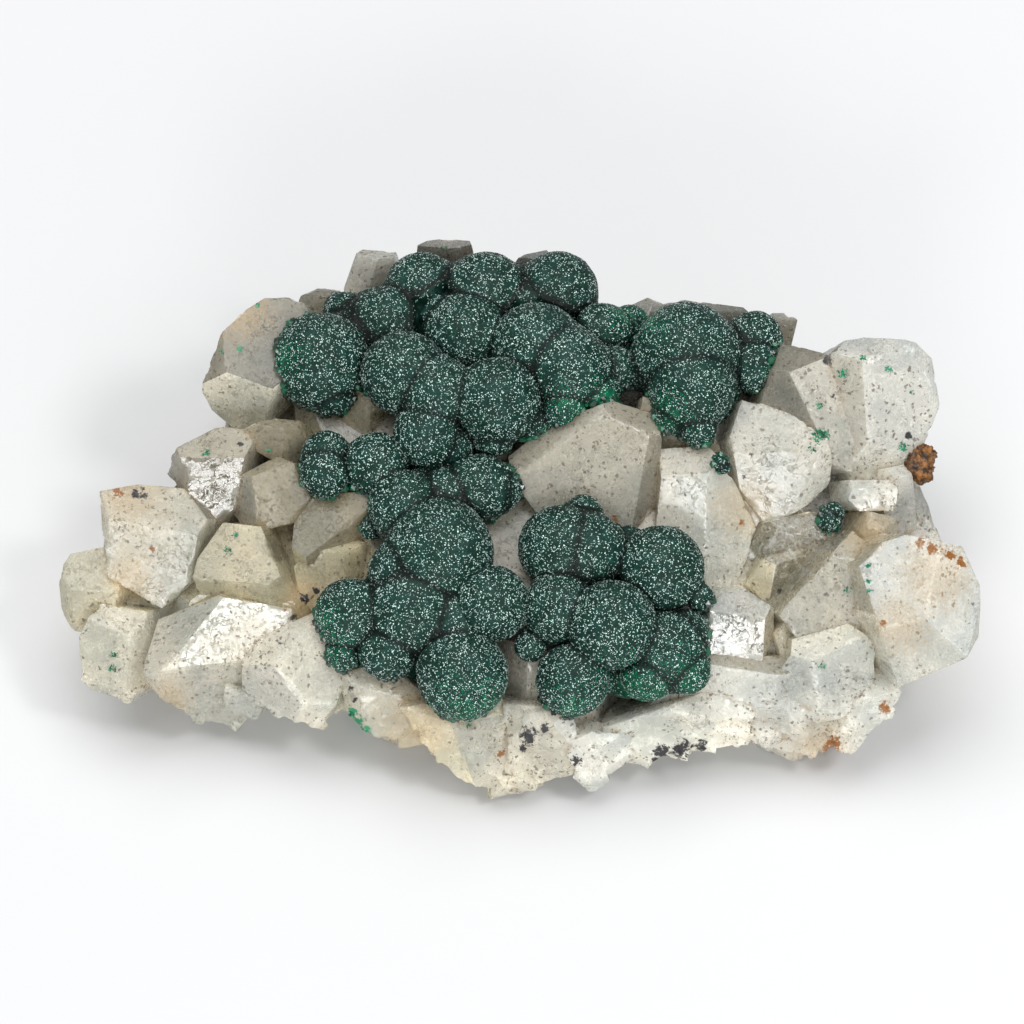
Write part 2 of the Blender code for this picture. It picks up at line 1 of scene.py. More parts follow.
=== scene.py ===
"""Looks of a quartz cluster: milky crystals with crusts of sparkling green malachite balls.

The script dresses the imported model. The quartz gets worn edges, stains and specks, the malachite smooth
balls covered in small grains, and tufts of it are scattered on the crystals. Places on the display face
are given in millimetres across the face and up the face, as the crystals and balls are.
"""

import math
import random

import bmesh
import bpy
import numpy as np
from bpy.props import FloatProperty, FloatVectorProperty, IntProperty, PointerProperty
from mathutils import Euler, Matrix, Vector, noise
from mathutils.bvhtree import BVHTree
from mathutils.kdtree import KDTree


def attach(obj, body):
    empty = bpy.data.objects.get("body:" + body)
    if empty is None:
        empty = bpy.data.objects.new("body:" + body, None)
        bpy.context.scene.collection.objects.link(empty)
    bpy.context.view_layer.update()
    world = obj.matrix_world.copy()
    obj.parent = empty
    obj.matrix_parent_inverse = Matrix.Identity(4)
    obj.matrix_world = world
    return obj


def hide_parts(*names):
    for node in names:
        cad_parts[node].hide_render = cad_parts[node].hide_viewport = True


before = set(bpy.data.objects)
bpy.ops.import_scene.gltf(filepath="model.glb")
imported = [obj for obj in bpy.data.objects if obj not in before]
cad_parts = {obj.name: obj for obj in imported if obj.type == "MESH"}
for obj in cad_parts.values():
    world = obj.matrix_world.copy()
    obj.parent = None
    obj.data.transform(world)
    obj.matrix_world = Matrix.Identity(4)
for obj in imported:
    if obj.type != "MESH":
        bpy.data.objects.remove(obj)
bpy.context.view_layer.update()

bl_info = {
    "name": "Quartz Cluster",
    "version": (1, 0, 0),
    "blender": (4, 5, 0),
    "location": "View3D > Sidebar > Quartz Cluster",
    "description": "Milky quartz crystals with crusts of malachite balls",
    "category": "Object",
}

MM = 0.001

# The display face: how far it leans back from level, and its middle in the model's frame
FACE_TILT = math.radians(55)
ACROSS = Vector((1, 0, 0))
UP = Vector((0, math.sin(FACE_TILT), math.cos(FACE_TILT)))
OUT = Vector((0, -math.cos(FACE_TILT), math.sin(FACE_TILT)))
MIDDLE = Vector((-0.795, -10.349, 24.0)) * MM

# The quartz below this place up the face is broken, and the break fades in over this much, in mm
FOOT_TOP = -23.5
FOOT_FADE = 4.0

# How far dirt reaches from the seams between crystals, and the angle from which an edge is sharp
SEAM_REACH = 1.4 * MM
SHARP_ANGLE = math.radians(16)

# The malachite's crusts: how softly balls merge, and how near the quartz the beads grow
BALL_BLEND = 0.6 * MM
BEAD_REACH = 0.9 * MM

# What the camera takes in: width of the picture and how far its middle lies above the face's, in mm
PICTURE_WIDTH = 133.5
PICTURE_RISE = 0.39

# Malachite balls of each crust: across, up, height of the centre above the cut, radius, in mm. The
# last rows of a large crust are the balls below the others.
BALLS = {
    "malachite_upper_mass": [
        (-25.3, 20.2, 28.5, 6.3), (-22.4, 27, 27.5, 2.4), (-16.6, 25.2, 28, 4.7),
        (-20.9, 23.5, 27, 3.7), (-12, 30, 28.5, 4.7), (-3.5, 29.1, 29, 5.6), (6.1, 29.6, 29, 5.2),
        (11.9, 24.1, 28.5, 3.7), (3.3, 21.5, 30, 6.2), (-6.1, 23.5, 29.5, 5.4),
        (-14.2, 18.6, 30.5, 5.5), (-9.8, 16, 30.5, 4.8), (-11.3, 10.4, 28, 4.2), (-2, 15, 30.5, 5.5),
        (7.3, 19.2, 30.5, 5.6), (11, 16, 29, 3), (15.6, 25, 27, 2.7), (-8, 9, 26.5, 2.8),
        (2.5, 12.6, 28, 2.6), (13.6, 19, 28.5, 3), (6.8, 13.6, 29, 2.8), (-2.5, 10.3, 27.5, 2.6),
        (-23.6, 15.8, 27, 2.7), (-9, 24, 23.5, 9), (3, 24, 23.5, 9), (-17, 22, 23, 8), (7, 18, 22.5, 8),
        (-6, 15, 22, 8)],
    "malachite_right_mass": [
        (22.9, 21, 30.5, 6.9), (23.6, 16.5, 30.5, 5.5), (18.3, 19.2, 29, 3.3), (32, 23.2, 29, 3.6),
        (31.8, 19.4, 29, 3.2), (21.3, 13.2, 29, 2.7), (24.5, 11, 28.7, 2.1), (23, 18, 25.5, 8),
        (29.4, 20.3, 26.2, 4.7)],
    "malachite_middle_mass": [
        (-24.3, 7.8, 25.5, 3.2), (-24.5, 5.3, 25.5, 3.1), (-17.7, 6.6, 25.5, 4.2),
        (-14, 0.9, 24.5, 4.7), (-8.5, 2, 24, 4), (-4.2, 3.6, 24.5, 4.4), (-1.2, 3.2, 24.5, 2.4),
        (-9.4, -5, 23.5, 7), (-21.1, -12.8, 20, 4.5), (-13, -12.4, 20.5, 5.8), (-16.2, -17.9, 18, 3.5),
        (-22, -18.2, 17, 2), (-6.4, -20.7, 17.5, 5.9), (-7.5, -14, 20, 4.2), (-14, -7.5, 22.5, 4.6),
        (-13, -14, 14.5, 9), (-10, 0, 18.5, 8)],
    "malachite_middle_ball": [(-2.7, -11.5, 22, 5)],
    "malachite_lower_mass": [
        (6.3, -4.3, 23, 5.5), (9.9, -4.8, 23, 5), (5.9, -12.1, 21, 4.6), (13, -14.2, 21.5, 5.6),
        (19.4, -7, 22, 5.6), (7.8, -21.5, 16.5, 4.7), (20, -17.6, 17.5, 4.9), (22.6, -15.3, 18, 2.9),
        (22.8, -20.3, 16.5, 2.9), (17.5, -21, 16.5, 3.2), (24.5, -10.7, 20.5, 1.7), (9.3, 0.2, 24, 2.4),
        (2.3, -17, 18.5, 2), (12, -9, 15.5, 9), (16, -17.5, 13.5, 6.5)],
    "malachite_nodule_right": [(27.1, 6.8, 27.5, 0.9), (27.6, 6.2, 27.3, 0.6)],
    "malachite_nodule_prism": [(-18.6, -2, 22.5, 1.1), (-17.4, -1.4, 22.7, 1.2)],
    "malachite_nodule_gap": [(41.5, -1.2, 21, 1.4), (42, 0.4, 21.3, 1.3)],
}
GOETHITE_LUMPS = [(53, 6.5, 23.5, 1.5), (54.2, 7.8, 23.5, 1.4), (53.8, 5.3, 23, 1.2)]

# Clear crystals that let the eye in: across, up, radius of the place
CLEAR_PLACES = [(37, -4.5, 5.5), (1.5, -1.5, 4.5), (-19.5, 12.5, 4), (13.5, 16, 3), (41, 0, 2)]

# Tone of the crystals, from 0 for black to 1 for white, and their warmth, from 0 for white to 1 for
# tan: across, up, tone, warmth. A facet takes those of the nearest place.
# Some low tones, beside the balls and in the gaps between crystals, are painted shade
TONES = [
    (-34.5, 23, 0.32, 0.5), (-35, 15, 0.92, 0.38), (-46, -2, 0.64, 0.45), (-55, -10, 0.75, 0.77),
    (-51.5, -18.5, 0.82, 0.45), (-45, -20, 0.72, 0.3), (-38, -25, 0.7, 0.35), (-35, -7.5, 0.6, 0.95),
    (-38, 8.5, 0.45, 0.6), (-38, 4, 0.36, 0.4), (-31, 2.5, 0.36, 1), (-31, 9, 0.36, 0.8),
    (-24, -1, 0.35, 1), (-22, -6.5, 0.72, 1), (-29, -20, 0.8, 0.35), (-18.5, 13.5, 0.85, 1),
    (-24, 12, 0.45, 1), (3, 6, 0.56, 0.45), (14, 8, 0.34, 0.5), (10, 11.5, 0.45, 0.5),
    (18, 4, 0.34, 0.6), (22.5, 1, 0.88, 0.2), (27, -6, 0.95, 0.2), (22, 8, 0.6, 0.4),
    (22.5, 11.5, 0.35, 0.7), (32, 11.5, 0.7, 0.25), (33, 4, 0.75, 0.25), (37, 18, 0.29, 0.45),
    (42, 12, 0.6, 0.25), (48, 15, 0.8, 0), (46, 3, 0.85, 0.1), (50.5, 1, 0.7, 0), (37, -3, 0.8, 0.6),
    (35.5, -8, 0.85, 0.75), (42.5, -7, 0.6, 0.42), (46.5, -2, 0.5, 0.5), (52.5, -10, 0.95, 0),
    (52, -18, 0.85, 0.2), (29, -14, 0.6, 0.15), (35, -15, 0.5, 0.6), (41, -20, 1, 0.28),
    (46, -25, 0.85, 0.1), (37, -27, 0.76, 0.1), (27, -21, 0.85, 0.15), (21, -27, 0.95, 0.25),
    (11, -30, 0.85, 0.05), (3, -30, 0.69, 0.35), (-5, -30, 0.92, 0.7), (-15, -25, 0.75, 0.5),
    (-18, 33, 0.57, 0.1), (-8.5, 35, 0.2, 0.2), (3.5, 33.5, 0.2, 0.1), (-24.5, 28.5, 0.34, 0.4),
    (23, 26.5, 0.3, 0.3), (35.5, 25.5, 0.4, 0.3), (1.5, -1.5, 0.2, 0.5), (13.5, 16, 0.12, 0.6),
    (-35, -24.5, 0.7, 0.2), (16.5, 12.5, 0.42, 0.5)]

# Facets that shine: across, up and reach of the place
SHINING = [
    (-39, -16.3, 4), (-37.8, 4.8, 3.5), (22.9, 2.3, 4), (46, 2.3, 2.5), (29, -15.3, 4), (35, -13.4, 1.5),
    (-35.5, 15.6, 3)]

# Stains: across, up, size in mm
RUST = [
    (-51.5, 3.2, 0.8), (54.5, -4.2, 1), (56.8, -5.2, 0.8), (58.2, -6.2, 0.8), (36.5, -34.5, 1.6),
    (13.5, -0.3, 0.6), (48.5, -25.2, 1), (42, -29.8, 1.3), (-1.5, -31, 0.6), (-47, -4.5, 0.4),
    (48, -14, 0.5), (-29.5, -12.5, 0.4), (30, -1, 0.5), (53, -3.6, 0.7), (23.5, 9, 0.4)]
WASH = [
    (55, -8, 5), (-50, 3, 4), (-36, 27, 4), (-50, -8, 3), (30, 1, 4), (46, -2, 3), (50, -14, 4),
    (-45, -24, 3), (40, -31, 4), (-12, -27, 5), (-27, -11, 3)]
SOOT = [
    (2.2, -28.6, 1.3), (4.2, -27.6, 0.9), (1.4, -30.4, 0.6), (-48.9, 2.7, 0.9), (-47.9, 2.5, 0.6),
    (41.3, 20.3, 0.6), (19.5, -31.3, 1.5), (22, -30.6, 1.5), (24.5, -30, 1), (-6, -26, 0.5),
    (-27, -11, 0.8), (-25.6, -9.9, 0.5), (-28.5, -13.5, 0.5), (35, -10, 0.4), (30.2, 5, 0.4),
    (52, 10.4, 0.6), (42, 15.6, 0.4), (18.8, 12.8, 0.4), (-35.4, 9.3, 0.4), (-30, -16.5, 0.4),
    (8.5, -32, 0.8), (-21, -22.5, 0.5), (-20.5, -24, 0.4), (31.3, 7.8, 0.35)]
MOSS = [(-20, -27, 0.9), (-20.8, -25.7, 0.7), (-18.8, -28.4, 0.8), (-35.5, 21.8, 0.5)]

# Places on the crusts that are bright green: across, up, radius
EMERALD = [
    (7, 14.6, 1.8), (9.5, 14.8, 1.8), (12, 15.6, 1.8), (20, 14.5, 1.6), (21.2, 12.6, 1.8),
    (-29.8, 21, 2), (15, -22, 3.2), (19, -22.8, 3.2), (22.5, -21.5, 3), (15, 26.3, 2), (18, 25.6, 2),
    (-6, -25.6, 3), (-3, -24.5, 2.4), (-25, -14, 2), (-23.5, -17.5, 2.4), (8, -25, 2)]

# Tufts of malachite on the crystals: across, up, reach in mm, number of grains
TUFTS = [
    (40.4, 10.4, 1.5, 170), (40.2, 14.3, 0.8, 30), (39.2, 8.5, 0.7, 20), (43.4, 18.6, 1, 50),
    (46, 20.5, 0.6, 22), (49.3, 18.9, 0.7, 22), (51.2, 8.9, 0.9, 60), (46.2, -6.6, 0.5, 26),
    (46.1, -8.6, 0.5, 18), (46.2, -9.8, 0.4, 14), (43.4, -9.8, 0.8, 16), (40.3, -19.6, 0.6, 20),
    (-51.8, -18.3, 0.8, 22), (-52, -20, 0.8, 22), (-36.1, -2.6, 0.7, 20), (-37, -4.6, 0.8, 22),
    (-40, 8.2, 0.7, 24), (-31.8, 8.5, 0.5, 16), (-33.5, 27.6, 0.6, 14), (-29, 25.2, 1, 50),
    (-47.5, -11.3, 0.4, 8), (-11.3, -27, 0.5, 12), (-5.5, -27.4, 0.5, 12), (6.3, -27.6, 0.6, 14),
    (-9, 35.5, 0.6, 10), (41.7, -1.2, 2, 260), (43.2, 0.4, 1.1, 60), (24.6, 10, 1, 60),
    (-21.3, -26.2, 1, 40), (-19.8, -28, 1, 40), (52.2, 16, 0.5, 8), (-38, 21.4, 0.5, 8)]

# Colours of the dirt and stains on the quartz
DUST = (0.34, 0.23, 0.13)
DARK_SPECK = (0.035, 0.022, 0.014)
BROWN_SPECK = (0.09, 0.06, 0.035)
DARK_CURL = (0.10, 0.085, 0.055)
BROWN_WASH = (0.58, 0.40, 0.19)
STAINS = (("rust", (0.30, 0.11, 0.015)), ("soot", (0.02, 0.018, 0.02)), ("moss", (0.01, 0.28, 0.13)))

# Colours between those of the malachite's settings
# Painted shade, for the creases between balls and the balls' sides
SHADE_COLOUR = (0.001, 0.004, 0.003)
DEEP_PATCH = (0.008, 0.045, 0.034)
DEEP_GRAIN = (0.010, 0.052, 0.040)
EMERALD_GRAIN = (0.01, 0.30, 0.15)
EMERALD_TUFT = (0.02, 0.36, 0.19)


# Settings

class QuartzSettings(bpy.types.PropertyGroup):
    white: FloatVectorProperty(
        name="White", description="Colour of the whitest quartz", subtype="COLOR", size=3, min=0, max=1,
        default=(1.0, 1.0, 0.92))
    tan: FloatVectorProperty(
        name="Tan", description="Colour of the warmest quartz", subtype="COLOR", size=3, min=0, max=1,
        default=(1.0, 0.88, 0.58))
    triangle: FloatProperty(
        name="Triangle", description="Longest edge on the display face", unit="LENGTH",
        default=0.75 * MM, min=0.2 * MM, max=5 * MM, precision=5)
    wear: FloatProperty(
        name="Wear", description="Depth of the deepest chips on the crystals' edges", unit="LENGTH",
        default=0.4 * MM, min=0, max=2 * MM, precision=5)


class MalachiteSettings(bpy.types.PropertyGroup):
    body: FloatVectorProperty(
        name="Body", description="Colour of the balls", subtype="COLOR", size=3, min=0, max=1,
        default=(0.003, 0.021, 0.014))
    emerald: FloatVectorProperty(
        name="Emerald", description="Colour of the margins and tufts", subtype="COLOR", size=3,
        min=0, max=1, default=(0.002, 0.10, 0.045))
    # Painted glints: the palest grains stand in for light glancing off the grains
    painted_glint: FloatVectorProperty(
        name="Glint", description="Colour of the palest grains", subtype="COLOR", size=3, min=0, max=1,
        default=(0.66, 0.88, 0.80))
    voxel: FloatProperty(
        name="Voxel", description="Cell of the crusts' surface", unit="LENGTH",
        default=0.36 * MM, min=0.2 * MM, max=2 * MM, precision=5)
    grain: FloatProperty(
        name="Grain", description="Width of the grains that cover the balls", unit="LENGTH",
        default=0.22 * MM, min=0.1 * MM, max=2 * MM, precision=5)
    bead: FloatProperty(
        name="Bead", description="Width of the beads along the crusts' margins", unit="LENGTH",
        default=0.95 * MM, min=0.1 * MM, max=3 * MM, precision=5)
    spacing: FloatProperty(
        name="Spacing", description="Least distance between grains", unit="LENGTH",
        default=0.19 * MM, min=0.1 * MM, max=2 * MM, precision=5)
    seed: IntProperty(name="Seed", description="Seed of the grains' places", default=4, min=0)


class GoethiteSettings(bpy.types.PropertyGroup):
    rust: FloatVectorProperty(
        name="Rust", description="Colour of the goethite", subtype="COLOR", size=3, min=0, max=1,
        default=(0.30, 0.12, 0.02))


class StageSettings(bpy.types.PropertyGroup):
    floor: FloatVectorProperty(
        name="Floor", description="Colour of the floor", subtype="COLOR", size=3, min=0, max=1,
        default=(0.72, 0.72, 0.72))
    lens: FloatProperty(name="Lens", description="Focal length of the camera in mm", default=300, min=20)


# Places on the display face

def on_face(across, up, height):
    """Point in metres from its place on the face and its height above the cut, in mm."""
    out = (height - MIDDLE.z / MM - up * UP.z) / OUT.z
    return MIDDLE + (across * ACROSS + up * UP + out * OUT) * MM


def above_face(across, up, out=60.0):
    return MIDDLE + (across * ACROSS + up * UP + out * OUT) * MM


def face_places(points):
    """Across and up in mm for an array of points in metres."""
    away = (points - np.array(MIDDLE)) / MM
    return away @ np.array(ACROSS), away @ np.array(UP)


def read_points(mesh):
    points = np.empty(len(mesh.vertices) * 3)
    mesh.vertices.foreach_get("co", points)
    return points.reshape(-1, 3)


def smooth_step(values, low, high):
    part = np.clip((values - low) / (high - low), 0, 1)
    return part * part * (3 - 2 * part)


# Meshes

def node_copy(node):
    """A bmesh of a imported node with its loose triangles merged."""
    bm = bmesh.new()
    bm.from_mesh(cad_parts[node].data)
    bmesh.ops.remove_doubles(bm, verts=bm.verts, dist=1e-6)
    return bm


def new_object(name, bm):
    mesh = bpy.data.meshes.new(name)
    bm.to_mesh(mesh)
    bm.free()
    obj = bpy.data.objects.new(name, mesh)
    bpy.context.scene.collection.objects.link(obj)
    return obj


def apply_modifiers(obj):
    """Turns what the modifiers make into the object's own mesh."""
    bpy.context.view_layer.update()
    evaluated = obj.evaluated_get(bpy.context.evaluated_depsgraph_get())
    mesh = bpy.data.meshes.new_from_object(evaluated)
    mesh.materials.clear()
    obj.modifiers.clear()
    obj.data = mesh


def vertex_value(mesh, name, values):
    layer = mesh.attributes.new(name, "FLOAT", "POINT")
    layer.data.foreach_set("value", np.asarray(values, dtype=np.float32))


def finish_piece(obj, material, slot, *nodes):
    obj.data.materials.append(material)
    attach(obj, "root")
    if nodes:
        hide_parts(*nodes)


# Node helpers

def add(tree, kind, inputs=None, **settings):
    """A node with its settings, and with its inputs set or linked by name or number."""
    made = tree.nodes.new(kind)
    for key, value in settings.items():
        setattr(made, key, value)
    for key, value in (inputs or {}).items():
        if isinstance(value, bpy.types.NodeSocket):
            tree.links.new(value, made.inputs[key])
        else:
            made.inputs[key].default_value = value
    return made


def math_node(tree, operation, *values):
    return add(tree, "ShaderNodeMath", dict(enumerate(values)), operation=operation).outputs[0]


def ramp(tree, value, low, high, to_low=0.0, to_high=1.0):
    inputs = {"Value": value, "From Min": low, "From Max": high, "To Min": to_low, "To Max": to_high}
    return add(tree, "ShaderNodeMapRange", inputs, interpolation_type="SMOOTHSTEP").outputs[0]


def mix(tree, factor, first, second, blend="MIX"):
    made = add(tree, "ShaderNodeMix", {"Factor": factor}, data_type="RGBA", blend_type=blend)
    for socket, value in ((made.inputs[6], first), (made.inputs[7], second)):
        if isinstance(value, bpy.types.NodeSocket):
            tree.links.new(value, socket)
        else:
            socket.default_value = (*value, 1)
    return made.outputs[2]


def noise_value(tree, vector, scale, detail=3.0, roughness=0.55, distortion=0.0):
    inputs = {"Vector": vector, "Scale": scale, "Detail": detail, "Roughness": roughness,
              "Distortion": distortion}
    return add(tree, "ShaderNodeTexNoise", inputs).outputs["Fac"]


def scaled(tree, vector, factor):
    return add(tree, "ShaderNodeVectorMath", {0: vector, "Scale": factor}, operation="SCALE").outputs[0]


def attribute(tree, name):
    return add(tree, "ShaderNodeAttribute", attribute_name=name).outputs["Fac"]


def new_material(name):
    made = bpy.data.materials.new(name)
    made.use_nodes = True
    return made, made.node_tree, made.node_tree.nodes["Principled BSDF"]


def object_place(tree):
    """Object coordinates, in metres."""
    return add(tree, "ShaderNodeTexCoord").outputs["Object"]


def speck_group():
    """Node group: small round specks of uneven size. Share is the part of the cells that hold one."""
    name = "Specks"
    if name in bpy.data.node_groups:
        return bpy.data.node_groups[name]
    tree = bpy.data.node_groups.new(name, "ShaderNodeTree")
    tree.interface.new_socket("Vector", in_out="INPUT", socket_type="NodeSocketVector")
    for socket in ("Scale", "Size", "Share"):
        tree.interface.new_socket(socket, in_out="INPUT", socket_type="NodeSocketFloat")
    tree.interface.new_socket("Mask", in_out="OUTPUT", socket_type="NodeSocketFloat")
    given = tree.nodes.new("NodeGroupInput").outputs
    cells = add(tree, "ShaderNodeTexVoronoi", {"Vector": given["Vector"], "Scale": given["Scale"]})
    chance = add(tree, "ShaderNodeSeparateColor", {0: cells.outputs["Color"]}).outputs
    chosen = math_node(tree, "LESS_THAN", chance[0], given["Share"])
    uneven = math_node(tree, "MULTIPLY_ADD", chance[1], 1.1, 0.4)
    size = math_node(tree, "MULTIPLY", given["Size"], uneven)
    dot = ramp(tree, math_node(tree, "SUBTRACT", size, cells.outputs["Distance"]), -0.03, 0.05)
    out = tree.nodes.new("NodeGroupOutput")
    tree.links.new(math_node(tree, "MULTIPLY", dot, chosen), out.inputs["Mask"])
    return tree


def specks(tree, vector, scale, size, share):
    inputs = {"Vector": vector, "Scale": scale, "Size": size, "Share": share}
    return add(tree, "ShaderNodeGroup", inputs, node_tree=speck_group()).outputs["Mask"]


# Quartz

def quartz_material(settings, clear):
    """Milky or clear quartz, dirty along the seams between its crystals and darkened there with painted
    shade.
    """
    made, tree, shader = new_material("clear_quartz" if clear else "milky_quartz")
    place = object_place(tree)

    # Clouds and thin veils inside
    clouds = noise_value(tree, place, 90.0, 2.0, 0.6)
    veils = noise_value(tree, place, 380.0, 2.5, 0.65, 1.5)
    seam = attribute(tree, "seam")
    milk = mix(tree, ramp(tree, clouds, 0.36, 0.62), (0.76, 0.79, 0.80), (1.08, 1.06, 1.03))
    tint = mix(tree, attribute(tree, "warmth"), settings.white, settings.tan)
    colour = mix(tree, 1.0, tint, milk, "MULTIPLY")
    wisp = math_node(tree, "ABSOLUTE", math_node(tree, "SUBTRACT", veils, 0.5))
    wisp = ramp(tree, wisp, 0.0, 0.04, 1.0, 0.0)
    tone = attribute(tree, "tone")
    tone = math_node(tree, "MULTIPLY", tone, ramp(tree, wisp, 0.0, 1.0, 0.84 if clear else 0.77,
                                                     1.85 if clear else 0.93))
    # Darker near the seams between crystals as painted shade, and in thick clouds as tone
    depth = ramp(tree, math_node(tree, "ADD", seam, clouds), 0.9, 1.7, 1.0, 0.9)
    colour = scaled(tree, colour, math_node(tree, "MULTIPLY", tone, depth))

    # Dust and specks, thickest along the seams
    ragged = noise_value(tree, place, 1300.0, 3.0, 0.7)
    dust = math_node(tree, "MULTIPLY_ADD", seam, 0.3, ragged)
    dust = math_node(tree, "MULTIPLY_ADD", clouds, 0.5, dust)
    colour = mix(tree, ramp(tree, dust, 0.92, 1.2, 0.0, 0.5), colour, DUST)
    crowd = math_node(tree, "MULTIPLY_ADD", seam, 0.45, ramp(tree, clouds, 0.4, 0.6, 0.12, 0.5))
    warp = add(tree, "ShaderNodeTexNoise", {"Vector": place, "Scale": 1600.0, "Detail": 1.0})
    shift = scaled(tree, warp.outputs["Color"], 0.9 * MM)
    warped = add(tree, "ShaderNodeVectorMath", {0: place, 1: shift}, operation="ADD").outputs[0]
    dots = specks(tree, warped, 1000.0, 0.14, crowd)
    grit = specks(tree, warped, 1900.0, 0.3, crowd)
    colour = mix(tree, math_node(tree, "MULTIPLY", dots, 0.75), colour, DARK_SPECK)
    colour = mix(tree, math_node(tree, "MULTIPLY", grit, 0.7), colour, BROWN_SPECK)

    # Fine dark curls in patches, strongest on the shining facets
    shine = attribute(tree, "shine")
    curls = noise_value(tree, warped, 420.0, 2.0, 0.6, 1.5)
    curls = math_node(tree, "ABSOLUTE", math_node(tree, "SUBTRACT", curls, 0.5))
    curls = ramp(tree, curls, 0.008, 0.03, 1.0, 0.0)
    patches = math_node(tree, "MULTIPLY_ADD", shine, 0.07, noise_value(tree, place, 240.0, 1.0))
    curls = math_node(tree, "MULTIPLY", curls, ramp(tree, patches, 0.5, 0.56))
    curls = math_node(tree, "MULTIPLY", curls, math_node(tree, "MULTIPLY_ADD", shine, 0.5, 0.4))
    colour = mix(tree, curls, colour, DARK_CURL)

    # Stains
    wash = math_node(tree, "ADD", attribute(tree, "wash"), ragged)
    colour = mix(tree, ramp(tree, wash, 0.75, 1.35, 0.0, 0.4), colour, BROWN_WASH)
    for name, stain in STAINS:
        level = math_node(tree, "MULTIPLY_ADD", ragged, 2.0, attribute(tree, name))
        colour = mix(tree, ramp(tree, level, 1.5, 1.75, 0.0, 1.0), colour, stain)
    tree.links.new(colour, shader.inputs["Base Color"])

    # Gloss, duller on the broken foot and where dirt lies
    gloss = ramp(tree, clouds, 0.4, 0.7, 0.2, 0.3)
    gloss = math_node(tree, "MULTIPLY_ADD", attribute(tree, "rough"), 0.15, gloss)
    gloss = math_node(tree, "MULTIPLY_ADD", shine, -0.13, gloss)
    gloss = math_node(tree, "MULTIPLY_ADD", dots, 0.3, gloss)
    gloss = math_node(tree, "MULTIPLY_ADD", curls, 0.5, gloss)
    gloss = math_node(tree, "ADD", ramp(tree, ragged, 0.52, 0.66, 0.0, 0.35), gloss)
    tree.links.new(gloss, shader.inputs["Roughness"])

    # Growth steps and a fine unevenness
    steps = math_node(tree, "SNAP", noise_value(tree, place, 160.0, 1.0), 0.045)
    fine = noise_value(tree, place, 1100.0, 2.0)
    relief = math_node(tree, "MULTIPLY_ADD", fine, 0.5 if clear else 0.1, steps)
    relief = math_node(tree, "MULTIPLY_ADD", curls, -0.25, relief)
    bump = add(tree, "ShaderNodeBump", {"Strength": 0.5, "Distance": 0.35 * MM, "Height": relief})
    tree.links.new(bump.outputs[0], shader.inputs["Normal"])

    # Light scattered within, and let through
    shader.subsurface_method = "BURLEY"
    shader.inputs["IOR"].default_value = 1.54
    shader.inputs["Transmission Weight"].default_value = 0.7 if clear else 0.25
    shader.inputs["Subsurface Weight"].default_value = 0.85
    shader.inputs["Subsurface Radius"].default_value = (1.0, 0.95, 0.85)
    shader.inputs["Subsurface Scale"].default_value = 4 * MM
    return made


def under_malachite(place):
    """Whether the crusts and their grains hide a place on the quartz."""
    cover = 0.7
    return any((place - on_face(a, b, h)).length < (r + cover) * MM
               for rows in BALLS.values() for a, b, h, r in rows)


def facet_marks(bm, length):
    """Gives every flat facet its tone, warmth and shine and the length its edges may have, longer
    where nothing is seen, and clear quartz the second material."""
    layers = [bm.faces.layers.float.new(name) for name in ("tone", "warmth", "shine", "width")]
    chance = random.Random(12)
    for face in bm.faces:
        centre = face.calc_center_median()
        middle = (centre - MIDDLE) / MM
        across, up = middle.dot(ACROSS), middle.dot(UP)

        def within(places):
            return any(math.hypot(across - a, up - b) < reach for a, b, reach in places)

        _, _, tone, warmth = min(TONES, key=lambda row: math.hypot(across - row[0], up - row[1]))
        facing = face.normal.dot(OUT)
        # The hidden sides are never as dark as the gaps that are seen on the face, whose low tones are
        # painted shade
        if facing < 0 or up > 24:
            tone = max(tone, 0.65 * (1 - max(0, facing)))
        seen = facing > -0.15 and not under_malachite(centre)
        shine = 1 if facing > 0.85 and within(SHINING) else 0
        finest = 0.65 if up < FOOT_TOP + 0.5 else 1
        width = length * (finest if seen else 3)
        values = (tone * chance.uniform(0.94, 1.06), warmth, shine, width)
        for layer, value in zip(layers, values):
            face[layer] = value
        face.material_index = 1 if facing > 0.1 and within(CLEAR_PLACES) else 0


def split_long_edges(bm):
    """Halves triangles at their longest edges until no edge is longer than its facet allows."""
    width = bm.faces.layers.float["width"]
    while True:
        bm.edges.index_update()
        bm.faces.index_update()
        lengths = [edge.calc_length() for edge in bm.edges]
        longest = [max(face.edges, key=lambda edge: (lengths[edge.index], edge.index))
                   for face in bm.faces]
        chosen = set()
        for face in bm.faces:
            edge = longest[face.index]
            if lengths[edge.index] < face[width]:
                continue
            # A neighbour whose own longest edge is longer is halved first
            while True:
                further = [longest[other.index] for other in edge.link_faces
                           if longest[other.index] != edge]
                if not further:
                    break
                edge = further[0]
            chosen.add(edge)
        if not chosen:
            return
        edges = sorted(chosen, key=lambda edge: edge.index)
        bmesh.ops.subdivide_edges(bm, edges=edges, cuts=1, use_single_edge=True)


def find_edges(bm):
    """Vertices on the crystals' own edges, and those in the seams between crystals."""
    bend = math.radians(9)
    ridge = set()
    seam = set()
    for edge in bm.edges:
        angle = edge.calc_face_angle_signed(0)
        if angle > bend:
            ridge.update(edge.verts)
        elif angle < -bend:
            seam.update(edge.verts)
    return ridge - seam, seam


def broken(place, size):
    """Height of a broken surface in mm: flat breaks of one size that lean all ways, with hollows."""
    _, centres = noise.voronoi(place / size)
    away = place / size - centres[0]
    lean = Vector([noise.noise(centres[0] * 7.3 + Vector((0, 0, shift)))
                   for shift in (0, 11.7, 23.1)])
    return size * (away.dot(lean) + 0.25 * away.length_squared)


